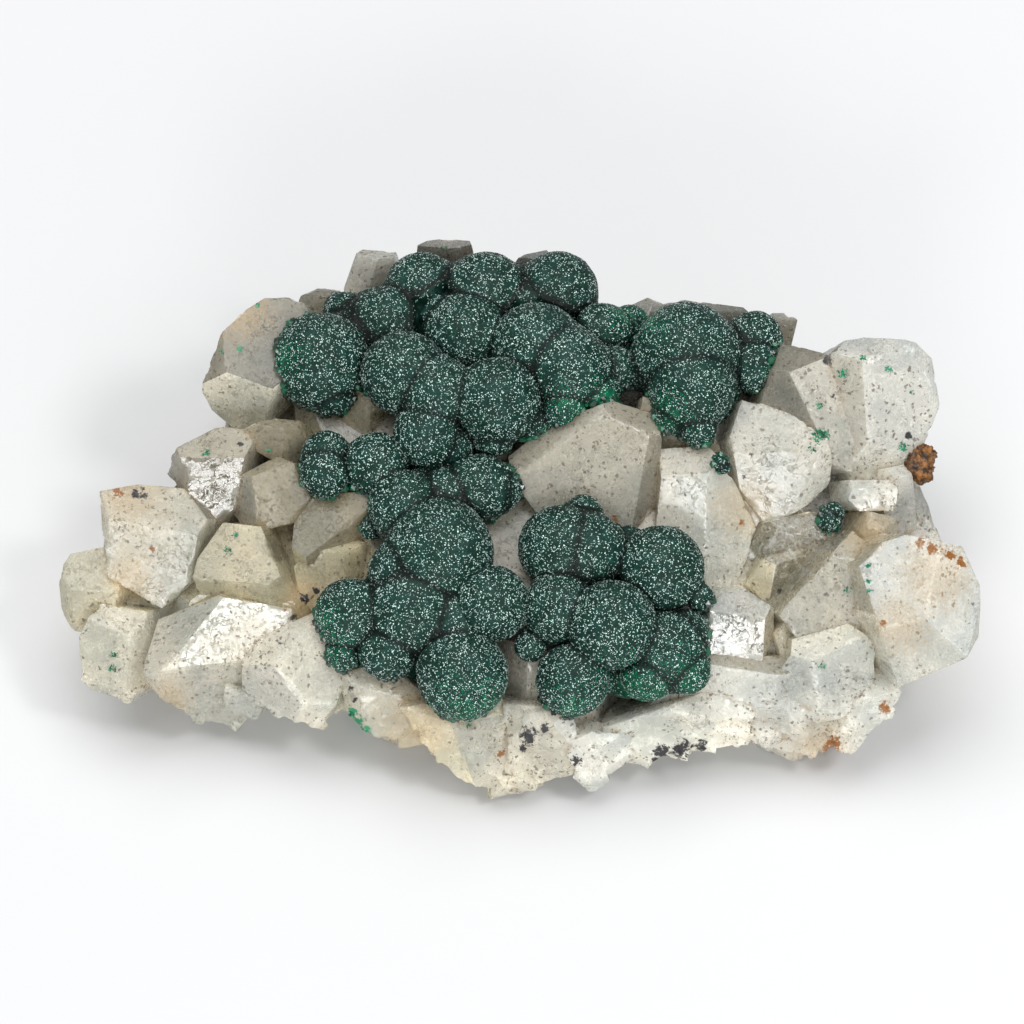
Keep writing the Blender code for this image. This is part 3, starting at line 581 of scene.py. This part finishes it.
def wear(bm, ridge, depth):
    """Chips the crystals' edges, makes the facets a little uneven and breaks the foot. The flat cut
    beneath stays flat."""
    cut = 0.02 * MM
    bm.normal_update()
    moves = []
    for vert in bm.verts:
        place = vert.co / MM
        up = (vert.co - MIDDLE).dot(UP) / MM
        foot = max(0.0, min(1.0, (FOOT_TOP - up) / FOOT_FADE))
        drop = 0.05 * noise.noise(place * 0.3)
        if vert in ridge:
            chip = noise.noise(place * 0.5) + 0.4 * noise.noise(place * 1.7)
            drop -= depth / MM * max(0.0, min(1.0, chip * 1.6 - 0.1))
        if foot:
            drop += foot * (0.55 * broken(place, 4.5) + 0.3 * broken(place, 1.8) - 0.1)
        moves.append(drop)
    for vert, drop in zip(bm.verts, moves):
        if vert.co.z > cut:
            vert.co += vert.normal * drop * MM
            vert.co.z = max(vert.co.z, cut / 2)


def nearness(bm, marked, reach):
    """1 at the marked vertices, falling to 0 at the reach."""
    tree = KDTree(len(marked))
    for number, vert in enumerate(marked):
        tree.insert(vert.co, number)
    tree.balance()
    return [max(0.0, 1 - tree.find(vert.co)[2] / reach) for vert in bm.verts]


def stain_values(points, places):
    """1 at the middle of a stain, 0 at twice its size and beyond."""
    across, up = face_places(points)
    value = np.zeros(len(points))
    for a, b, size in places:
        value = np.maximum(value, 1 - np.hypot(across - a, up - b) / (2 * size))
    return value


def make_quartz(settings):
    """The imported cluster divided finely, with worn edges, a broken foot and values for its stains."""
    bm = node_copy("quartz_cluster")
    bmesh.ops.dissolve_limit(bm, angle_limit=math.radians(0.3), verts=bm.verts, edges=bm.edges)
    facet_marks(bm, settings.triangle)
    bmesh.ops.triangulate(bm, faces=bm.faces)
    split_long_edges(bm)
    ridge, seam = find_edges(bm)
    seam_value = nearness(bm, seam, SEAM_REACH)
    wear(bm, ridge, settings.wear)
    obj = new_object("quartz_crystals", bm)
    mesh = obj.data
    points = read_points(mesh)
    _, up = face_places(points)
    vertex_value(mesh, "seam", seam_value)
    vertex_value(mesh, "rough", smooth_step(-up, 24, 28))
    for name, places in (("rust", RUST), ("wash", WASH), ("soot", SOOT), ("moss", MOSS)):
        vertex_value(mesh, name, stain_values(points, places))
    mesh.shade_smooth()
    mesh.set_sharp_from_angle(angle=SHARP_ANGLE)
    finish_piece(obj, quartz_material(settings, False), "quartz", "quartz_cluster")
    mesh.materials.append(quartz_material(settings, True))


# Malachite

def crust_material(settings):
    """Deep green in patches, greener at its margins and almost black with painted shade in the creases
    and on the balls' sides.
    """
    made, tree, shader = new_material("malachite_crust")
    patches = noise_value(tree, object_place(tree), 600.0, 3.0)
    colour = mix(tree, ramp(tree, patches, 0.35, 0.7), settings.body, DEEP_PATCH)
    green = math_node(tree, "ADD", attribute(tree, "green"), patches)
    colour = mix(tree, ramp(tree, green, 0.85, 1.3), colour, settings.emerald)
    # Painted shade in the creases between balls and on the balls' sides
    colour = mix(tree, attribute(tree, "crease"), colour, SHADE_COLOUR)
    tree.links.new(colour, shader.inputs["Base Color"])
    shader.inputs["Roughness"].default_value = 0.5
    shader.inputs["Specular IOR Level"].default_value = 0.2
    return made


def grain_material(settings):
    """Each grain is dark, pale or bright green by its chance; the pale ones are painted glints, fewer
    where painted shade lies in the creases and on the balls' sides.
    """
    made, tree, shader = new_material("malachite_grains")
    chance = attribute(tree, "chance")
    dark = mix(tree, ramp(tree, chance, 0.0, 0.7), settings.body, DEEP_GRAIN)
    crease = attribute(tree, "crease")
    # Painted glints: pale grains, fewer where painted shade lies
    glint_chance = math_node(tree, "MULTIPLY_ADD", crease, -0.2, chance)
    colour = mix(tree, ramp(tree, glint_chance, 0.5, 0.68), dark, settings.painted_glint)
    bright = mix(tree, ramp(tree, chance, 0.0, 0.5), EMERALD_GRAIN, settings.emerald)
    green = math_node(tree, "SUBTRACT", attribute(tree, "green"), chance)
    colour = mix(tree, ramp(tree, green, -0.05, 0.05), colour, bright)
    # Painted shade darkens the grains in the creases and on the balls' sides
    colour = mix(tree, math_node(tree, "MULTIPLY", crease, 0.7), colour, SHADE_COLOUR)
    tree.links.new(colour, shader.inputs["Base Color"])
    shader.inputs["Roughness"].default_value = 0.25
    shader.inputs["Specular IOR Level"].default_value = 0.25
    return made


def bead_material(settings):
    made, tree, shader = new_material("malachite_beads")
    chance = attribute(tree, "chance")
    colour = mix(tree, ramp(tree, chance, 0.3, 1.0), settings.body, settings.emerald)
    tree.links.new(colour, shader.inputs["Base Color"])
    shader.inputs["Roughness"].default_value = 0.25
    shader.inputs["IOR"].default_value = 1.8
    return made


def round_to_balls(mesh, balls):
    """Moves the faceted surface out to the true balls, with soft creases between them. Returns the
    points, how far each moved freely and how far into the folds between balls it lies, both from 0 to 1."""
    points = read_points(mesh)
    centres = np.array([on_face(a, b, h) for a, b, h, _ in balls])
    radii = np.array([row[3] for row in balls]) * MM
    reach = 0.9 * MM, 1.6 * MM

    def gap_and_way(points):
        away = points[:, None, :] - centres[None]
        far = np.linalg.norm(away, axis=2)
        gap = far - radii
        least = gap.min(axis=1, keepdims=True)
        weight = np.exp(-(gap - least) / BALL_BLEND)
        total = weight.sum(axis=1)
        way = (weight[:, :, None] * away / far[:, :, None]).sum(axis=1) / total[:, None]
        return least[:, 0] - BALL_BLEND * np.log(total), way, np.log(total)

    gap, way, _ = gap_and_way(points)
    hold = 1 - smooth_step(np.abs(gap), *reach)
    for _ in range(3):
        points -= way * (gap * hold)[:, None]
        gap, way, crowd = gap_and_way(points)
    mesh.vertices.foreach_set("co", points.ravel())
    return points, hold, smooth_step(crowd, 0.25, 0.75)


def make_crust(node, quartz_tree, settings):
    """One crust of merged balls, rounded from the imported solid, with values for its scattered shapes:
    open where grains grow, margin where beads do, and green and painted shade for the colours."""
    obj = new_object(node.replace("malachite", "malachite_crust"), node_copy(node))
    small = len(BALLS[node]) < 3
    modifier = obj.modifiers.new("remesh", "REMESH")
    modifier.mode = "VOXEL"
    modifier.voxel_size = settings.voxel * (0.5 if small else 1)
    apply_modifiers(obj)
    points, hold, crease = round_to_balls(obj.data, BALLS[node])
    lumps = np.array([noise.noise(Vector(p) / MM * 0.55) for p in points])
    mesh = obj.data
    normals = np.empty(len(points) * 3)
    mesh.vertices.foreach_get("normal", normals)
    points += normals.reshape(-1, 3) * (lumps * hold * 0.12 * MM)[:, None]
    mesh.vertices.foreach_set("co", points.ravel())
    # Painted shade: the sides of the balls are darker than their tops, with fewer pale grains
    side_shade = 1 - smooth_step(normals.reshape(-1, 3) @ np.array(OUT), 0.05, 0.8)
    near = np.array([quartz_tree.find_nearest(Vector(p))[3] for p in points])
    rim = 1 - smooth_step(near, 0.4 * MM, 1.6 * MM)
    vertex_value(mesh, "green", 0.65 * stain_values(points, EMERALD) + 0.35 * rim)
    vertex_value(mesh, "open", hold)
    # Painted shade: the creases between balls and the balls' sides, darkened in colour
    vertex_value(mesh, "crease", np.maximum(crease, 0.55 * side_shade))
    vertex_value(mesh, "margin", (near < BEAD_REACH).astype(float))
    mesh.shade_smooth()
    mesh.update()
    return obj


def grain_shape(width):
    """A small blunt crystal point: a closed three-sided cone."""
    bm = bmesh.new()
    bmesh.ops.create_cone(
        bm, cap_ends=True, segments=3, radius1=width * 0.65, radius2=0, depth=width * 0.7)
    return new_object("grain_shape", bm)


def bead_shape(width):
    """A small round knob."""
    bm = bmesh.new()
    bmesh.ops.create_icosphere(bm, subdivisions=1, radius=width / 2)
    return new_object("bead_shape", bm)


def scatter_tree(shape, field, spacing, tilt, seed):
    """Geometry nodes that scatter tilted copies of one shape over a surface, where the field is 1."""
    tree = bpy.data.node_groups.new("Scatter", "GeometryNodeTree")
    tree.interface.new_socket("Geometry", in_out="INPUT", socket_type="NodeSocketGeometry")
    tree.interface.new_socket("Geometry", in_out="OUTPUT", socket_type="NodeSocketGeometry")
    given = tree.nodes.new("NodeGroupInput").outputs[0]
    where = add(tree, "GeometryNodeInputNamedAttribute", {"Name": field}, data_type="FLOAT")
    points = add(tree, "GeometryNodeDistributePointsOnFaces",
                 {"Mesh": given, "Distance Min": spacing, "Density Max": 3 / spacing ** 2,
                  "Density Factor": where.outputs[0], "Seed": seed}, distribute_method="POISSON")
    source = add(tree, "GeometryNodeObjectInfo", {"Object": shape})
    turn = add(tree, "FunctionNodeRandomValue",
               {0: (-tilt, -tilt, -3.2), 1: (tilt, tilt, 3.2), "Seed": seed + 1},
               data_type="FLOAT_VECTOR")
    turned = add(tree, "FunctionNodeRotateRotation",
                 {"Rotation": points.outputs["Rotation"], "Rotate By": turn.outputs[0]},
                 rotation_space="LOCAL")
    size = add(tree, "FunctionNodeRandomValue", {2: 0.6, 3: 1.4, "Seed": seed + 2}, data_type="FLOAT")
    copies = add(tree, "GeometryNodeInstanceOnPoints",
                 {"Points": points.outputs["Points"], "Instance": source.outputs["Geometry"],
                  "Rotation": turned.outputs[0], "Scale": size.outputs[1]})
    chance = add(tree, "FunctionNodeRandomValue",
                 {2: 0.0, 3: 1.0, "Seed": seed + 3}, data_type="FLOAT")
    marked = add(tree, "GeometryNodeStoreNamedAttribute",
                 {"Geometry": copies.outputs[0], "Name": "chance", "Value": chance.outputs[1]},
                 data_type="FLOAT", domain="INSTANCE")
    solid = add(tree, "GeometryNodeRealizeInstances", {"Geometry": marked.outputs[0]})
    out = tree.nodes.new("NodeGroupOutput")
    tree.links.new(solid.outputs[0], out.inputs[0])
    return tree


def scatter(crust, name, *values):
    """Copies of a shape over one crust, as a piece of their own. The values are scatter_tree's."""
    obj = bpy.data.objects.new(crust.name.replace("crust", name), crust.data.copy())
    bpy.context.scene.collection.objects.link(obj)
    modifier = obj.modifiers.new("scatter", "NODES")
    modifier.node_group = scatter_tree(*values)
    apply_modifiers(obj)
    return obj


def quartz_lookup():
    """Nearest-point lookup on the quartz."""
    bm = node_copy("quartz_cluster")
    tree = BVHTree.FromBMesh(bm)
    bm.free()
    return tree


def make_tufts():
    """Loose grains of malachite round each tuft's middle, dropped on the quartz."""
    tree = quartz_lookup()
    chance = random.Random(5)
    bm = bmesh.new()
    for across, up, reach, count in TUFTS:
        for _ in range(count):
            turn = chance.uniform(0, math.tau)
            far = reach * math.sqrt(chance.random()) * chance.uniform(0.4, 1)
            start = above_face(across + far * math.cos(turn), up + far * math.sin(turn) * 0.8)
            hit, normal, _, _ = tree.ray_cast(start, -OUT)
            if hit is None:
                continue
            size = chance.uniform(0.07, 0.19) * MM
            lean = Euler([chance.uniform(-0.9, 0.9) for _ in range(3)]).to_matrix().to_4x4()
            face = normal.to_track_quat("Z", "Y").to_matrix().to_4x4()
            place = Matrix.Translation(hit + normal * size * 0.2) @ face @ lean
            bmesh.ops.create_cone(
                bm, cap_ends=True, segments=3, radius1=size, radius2=size * 0.2, depth=size * 1.8,
                matrix=place)
    return new_object("malachite_tufts", bm)


def tuft_material(settings):
    made, tree, shader = new_material("malachite_tufts")
    patches = noise_value(tree, object_place(tree), 1500.0, 2.0)
    colour = mix(tree, ramp(tree, patches, 0.35, 0.65), settings.emerald, EMERALD_TUFT)
    tree.links.new(colour, shader.inputs["Base Color"])
    shader.inputs["Roughness"].default_value = 0.4
    return made


# Goethite

def goethite_material(settings):
    made, tree, shader = new_material("goethite")
    patches = noise_value(tree, object_place(tree), 1100.0, 5.0, 0.7)
    colour = mix(tree, ramp(tree, patches, 0.42, 0.62), (0.03, 0.014, 0.006), settings.rust)
    tree.links.new(colour, shader.inputs["Base Color"])
    bump = add(tree, "ShaderNodeBump", {"Strength": 0.7, "Distance": 0.2 * MM, "Height": patches})
    tree.links.new(bump.outputs[0], shader.inputs["Normal"])
    shader.inputs["Roughness"].default_value = 0.35
    return made


def make_goethite():
    """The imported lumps, rounded and made rough."""
    obj = new_object("goethite_lumps", node_copy("goethite_patch"))
    modifier = obj.modifiers.new("remesh", "REMESH")
    modifier.mode = "VOXEL"
    modifier.voxel_size = 0.18 * MM
    apply_modifiers(obj)
    mesh = obj.data
    points, _, _ = round_to_balls(mesh, GOETHITE_LUMPS)
    normals = np.empty(len(points) * 3)
    mesh.vertices.foreach_get("normal", normals)
    lumps = np.array([noise.fractal(Vector(p) / MM * 1.3, 0.7, 2.0, 4) - 0.25 for p in points])
    points += normals.reshape(-1, 3) * (lumps * 0.5 * MM)[:, None]
    mesh.vertices.foreach_set("co", points.ravel())
    mesh.shade_smooth()
    mesh.update()
    return obj


# Stage

def area_light(name, direction, distance, width, height, power):
    """Soft light that looks at the middle of the display face from one direction."""
    light = bpy.data.lights.new(name, "AREA")
    light.shape = "RECTANGLE"
    light.size = width
    light.size_y = height
    light.energy = power
    obj = bpy.data.objects.new(name, light)
    bpy.context.scene.collection.objects.link(obj)
    way = Vector(direction).normalized()
    obj.location = MIDDLE + way * distance
    obj.rotation_euler = way.to_track_quat("Z", "Y").to_euler()


def from_face(across, up, out):
    """Direction given by its share across the face, up the face and out of it."""
    return across * ACROSS + up * UP + out * OUT


def make_stage(settings):
    """Pale floor, even light all round, four soft lights and the camera at the photo's angle."""
    scene = bpy.context.scene
    bm = bmesh.new()
    bmesh.ops.create_grid(bm, x_segments=1, y_segments=1, size=2.5)
    floor = new_object("floor", bm)
    made, tree, shader = new_material("floor")
    soft = noise_value(tree, object_place(tree), 3.0, 2.0)
    shade = [value * 0.97 for value in settings.floor]
    colour = mix(tree, ramp(tree, soft, 0.3, 0.7), settings.floor, shade)
    tree.links.new(colour, shader.inputs["Base Color"])
    shader.inputs["Roughness"].default_value = 0.9
    shader.inputs["Specular IOR Level"].default_value = 0.1
    floor.data.materials.append(made)

    world = bpy.data.worlds.new("studio")
    scene.world = world
    world.use_nodes = True
    background = world.node_tree.nodes["Background"]
    background.inputs["Color"].default_value = (0.93, 0.96, 1.0, 1)
    background.inputs["Strength"].default_value = 0.38
    area_light("front_light", from_face(-0.04, -0.45, 0.89), 0.7, 0.2, 0.115, 0.9)
    area_light("top_light", (-0.1, 0.25, 1), 1.0, 1.1, 0.9, 9.0)
    area_light("fill_light", (0.1, -1, 0.28), 1.0, 1.2, 0.5, 4.6)
    area_light("side_light", from_face(0.5, 0.27, 0.8), 0.8, 0.16, 0.16, 1.6)

    lens = bpy.data.cameras.new("camera")
    lens.lens = settings.lens
    lens.sensor_width = 36
    lens.clip_end = 10
    camera = bpy.data.objects.new("camera", lens)
    scene.collection.objects.link(camera)
    away = PICTURE_WIDTH * MM * settings.lens / lens.sensor_width
    camera.location = MIDDLE + PICTURE_RISE * MM * UP + OUT * away
    camera.rotation_euler = OUT.to_track_quat("Z", "Y").to_euler()
    scene.camera = camera
    scene.view_settings.view_transform = "Standard"


# Operators

class QUARTZ_OT_crystals(bpy.types.Operator):
    """Dress the quartz crystals"""
    bl_idname = "quartz.crystals"
    bl_label = "Quartz Crystals"

    def execute(self, context):
        make_quartz(context.scene.quartz_look)
        return {"FINISHED"}


class QUARTZ_OT_malachite(bpy.types.Operator):
    """Make the malachite crusts, the grains that cover them and the beads along their margins"""
    bl_idname = "quartz.malachite"
    bl_label = "Malachite Crusts"

    def execute(self, context):
        settings = context.scene.malachite_look
        lookup = quartz_lookup()
        looks = [look(settings) for look in (crust_material, grain_material, bead_material)]
        grain = grain_shape(settings.grain)
        bead = bead_shape(settings.bead)
        for number, node in enumerate(BALLS):
            seed = settings.seed + 10 * number
            crust = make_crust(node, lookup, settings)
            grains = scatter(crust, "grains", grain, "open", settings.spacing, 0.8, seed)
            beads = scatter(crust, "beads", bead, "margin", 0.7 * settings.bead, 3.0, seed + 5)
            finish_piece(crust, looks[0], "malachite", node)
            finish_piece(grains, looks[1], "malachite")
            finish_piece(beads, looks[2], "malachite")
        bpy.data.objects.remove(grain, do_unlink=True)
        bpy.data.objects.remove(bead, do_unlink=True)
        return {"FINISHED"}


class QUARTZ_OT_tufts(bpy.types.Operator):
    """Scatter the tufts of malachite on the crystals"""
    bl_idname = "quartz.tufts"
    bl_label = "Malachite Tufts"

    def execute(self, context):
        settings = context.scene.malachite_look
        finish_piece(make_tufts(), tuft_material(settings), "malachite")
        return {"FINISHED"}


class QUARTZ_OT_goethite(bpy.types.Operator):
    """Make the rusty goethite lumps"""
    bl_idname = "quartz.goethite"
    bl_label = "Goethite"

    def execute(self, context):
        settings = context.scene.goethite_look
        finish_piece(make_goethite(), goethite_material(settings), "goethite", "goethite_patch")
        return {"FINISHED"}


class QUARTZ_OT_stage(bpy.types.Operator):
    """Lay the floor and set the lights and the camera"""
    bl_idname = "quartz.stage"
    bl_label = "Stage"

    def execute(self, context):
        make_stage(context.scene.stage_look)
        return {"FINISHED"}


OPERATORS = (
    QUARTZ_OT_crystals, QUARTZ_OT_malachite, QUARTZ_OT_tufts, QUARTZ_OT_goethite, QUARTZ_OT_stage)
SETTINGS = {
    "quartz_look": QuartzSettings,
    "malachite_look": MalachiteSettings,
    "goethite_look": GoethiteSettings,
    "stage_look": StageSettings,
}


class QUARTZ_PT_panel(bpy.types.Panel):
    """Steps that dress the cluster, in order, with their settings"""
    bl_idname = "QUARTZ_PT_panel"
    bl_label = "Quartz Cluster"
    bl_space_type = "VIEW_3D"
    bl_region_type = "UI"
    bl_category = "Quartz Cluster"

    def draw(self, context):
        for operator in OPERATORS:
            self.layout.operator(operator.bl_idname)
        for name, group in SETTINGS.items():
            box = self.layout.box()
            for prop in group.__annotations__:
                box.prop(getattr(context.scene, name), prop)


def register():
    for group in SETTINGS.values():
        bpy.utils.register_class(group)
    for name, group in SETTINGS.items():
        setattr(bpy.types.Scene, name, PointerProperty(type=group))
    for operator in OPERATORS:
        bpy.utils.register_class(operator)
    bpy.utils.register_class(QUARTZ_PT_panel)


def unregister():
    bpy.utils.unregister_class(QUARTZ_PT_panel)
    for operator in reversed(OPERATORS):
        bpy.utils.unregister_class(operator)
    for name, group in SETTINGS.items():
        delattr(bpy.types.Scene, name)
        bpy.utils.unregister_class(group)


def main():
    register()
    bpy.ops.quartz.crystals()
    bpy.ops.quartz.malachite()
    bpy.ops.quartz.tufts()
    bpy.ops.quartz.goethite()
    bpy.ops.quartz.stage()


if __name__ == "__main__":
    main()
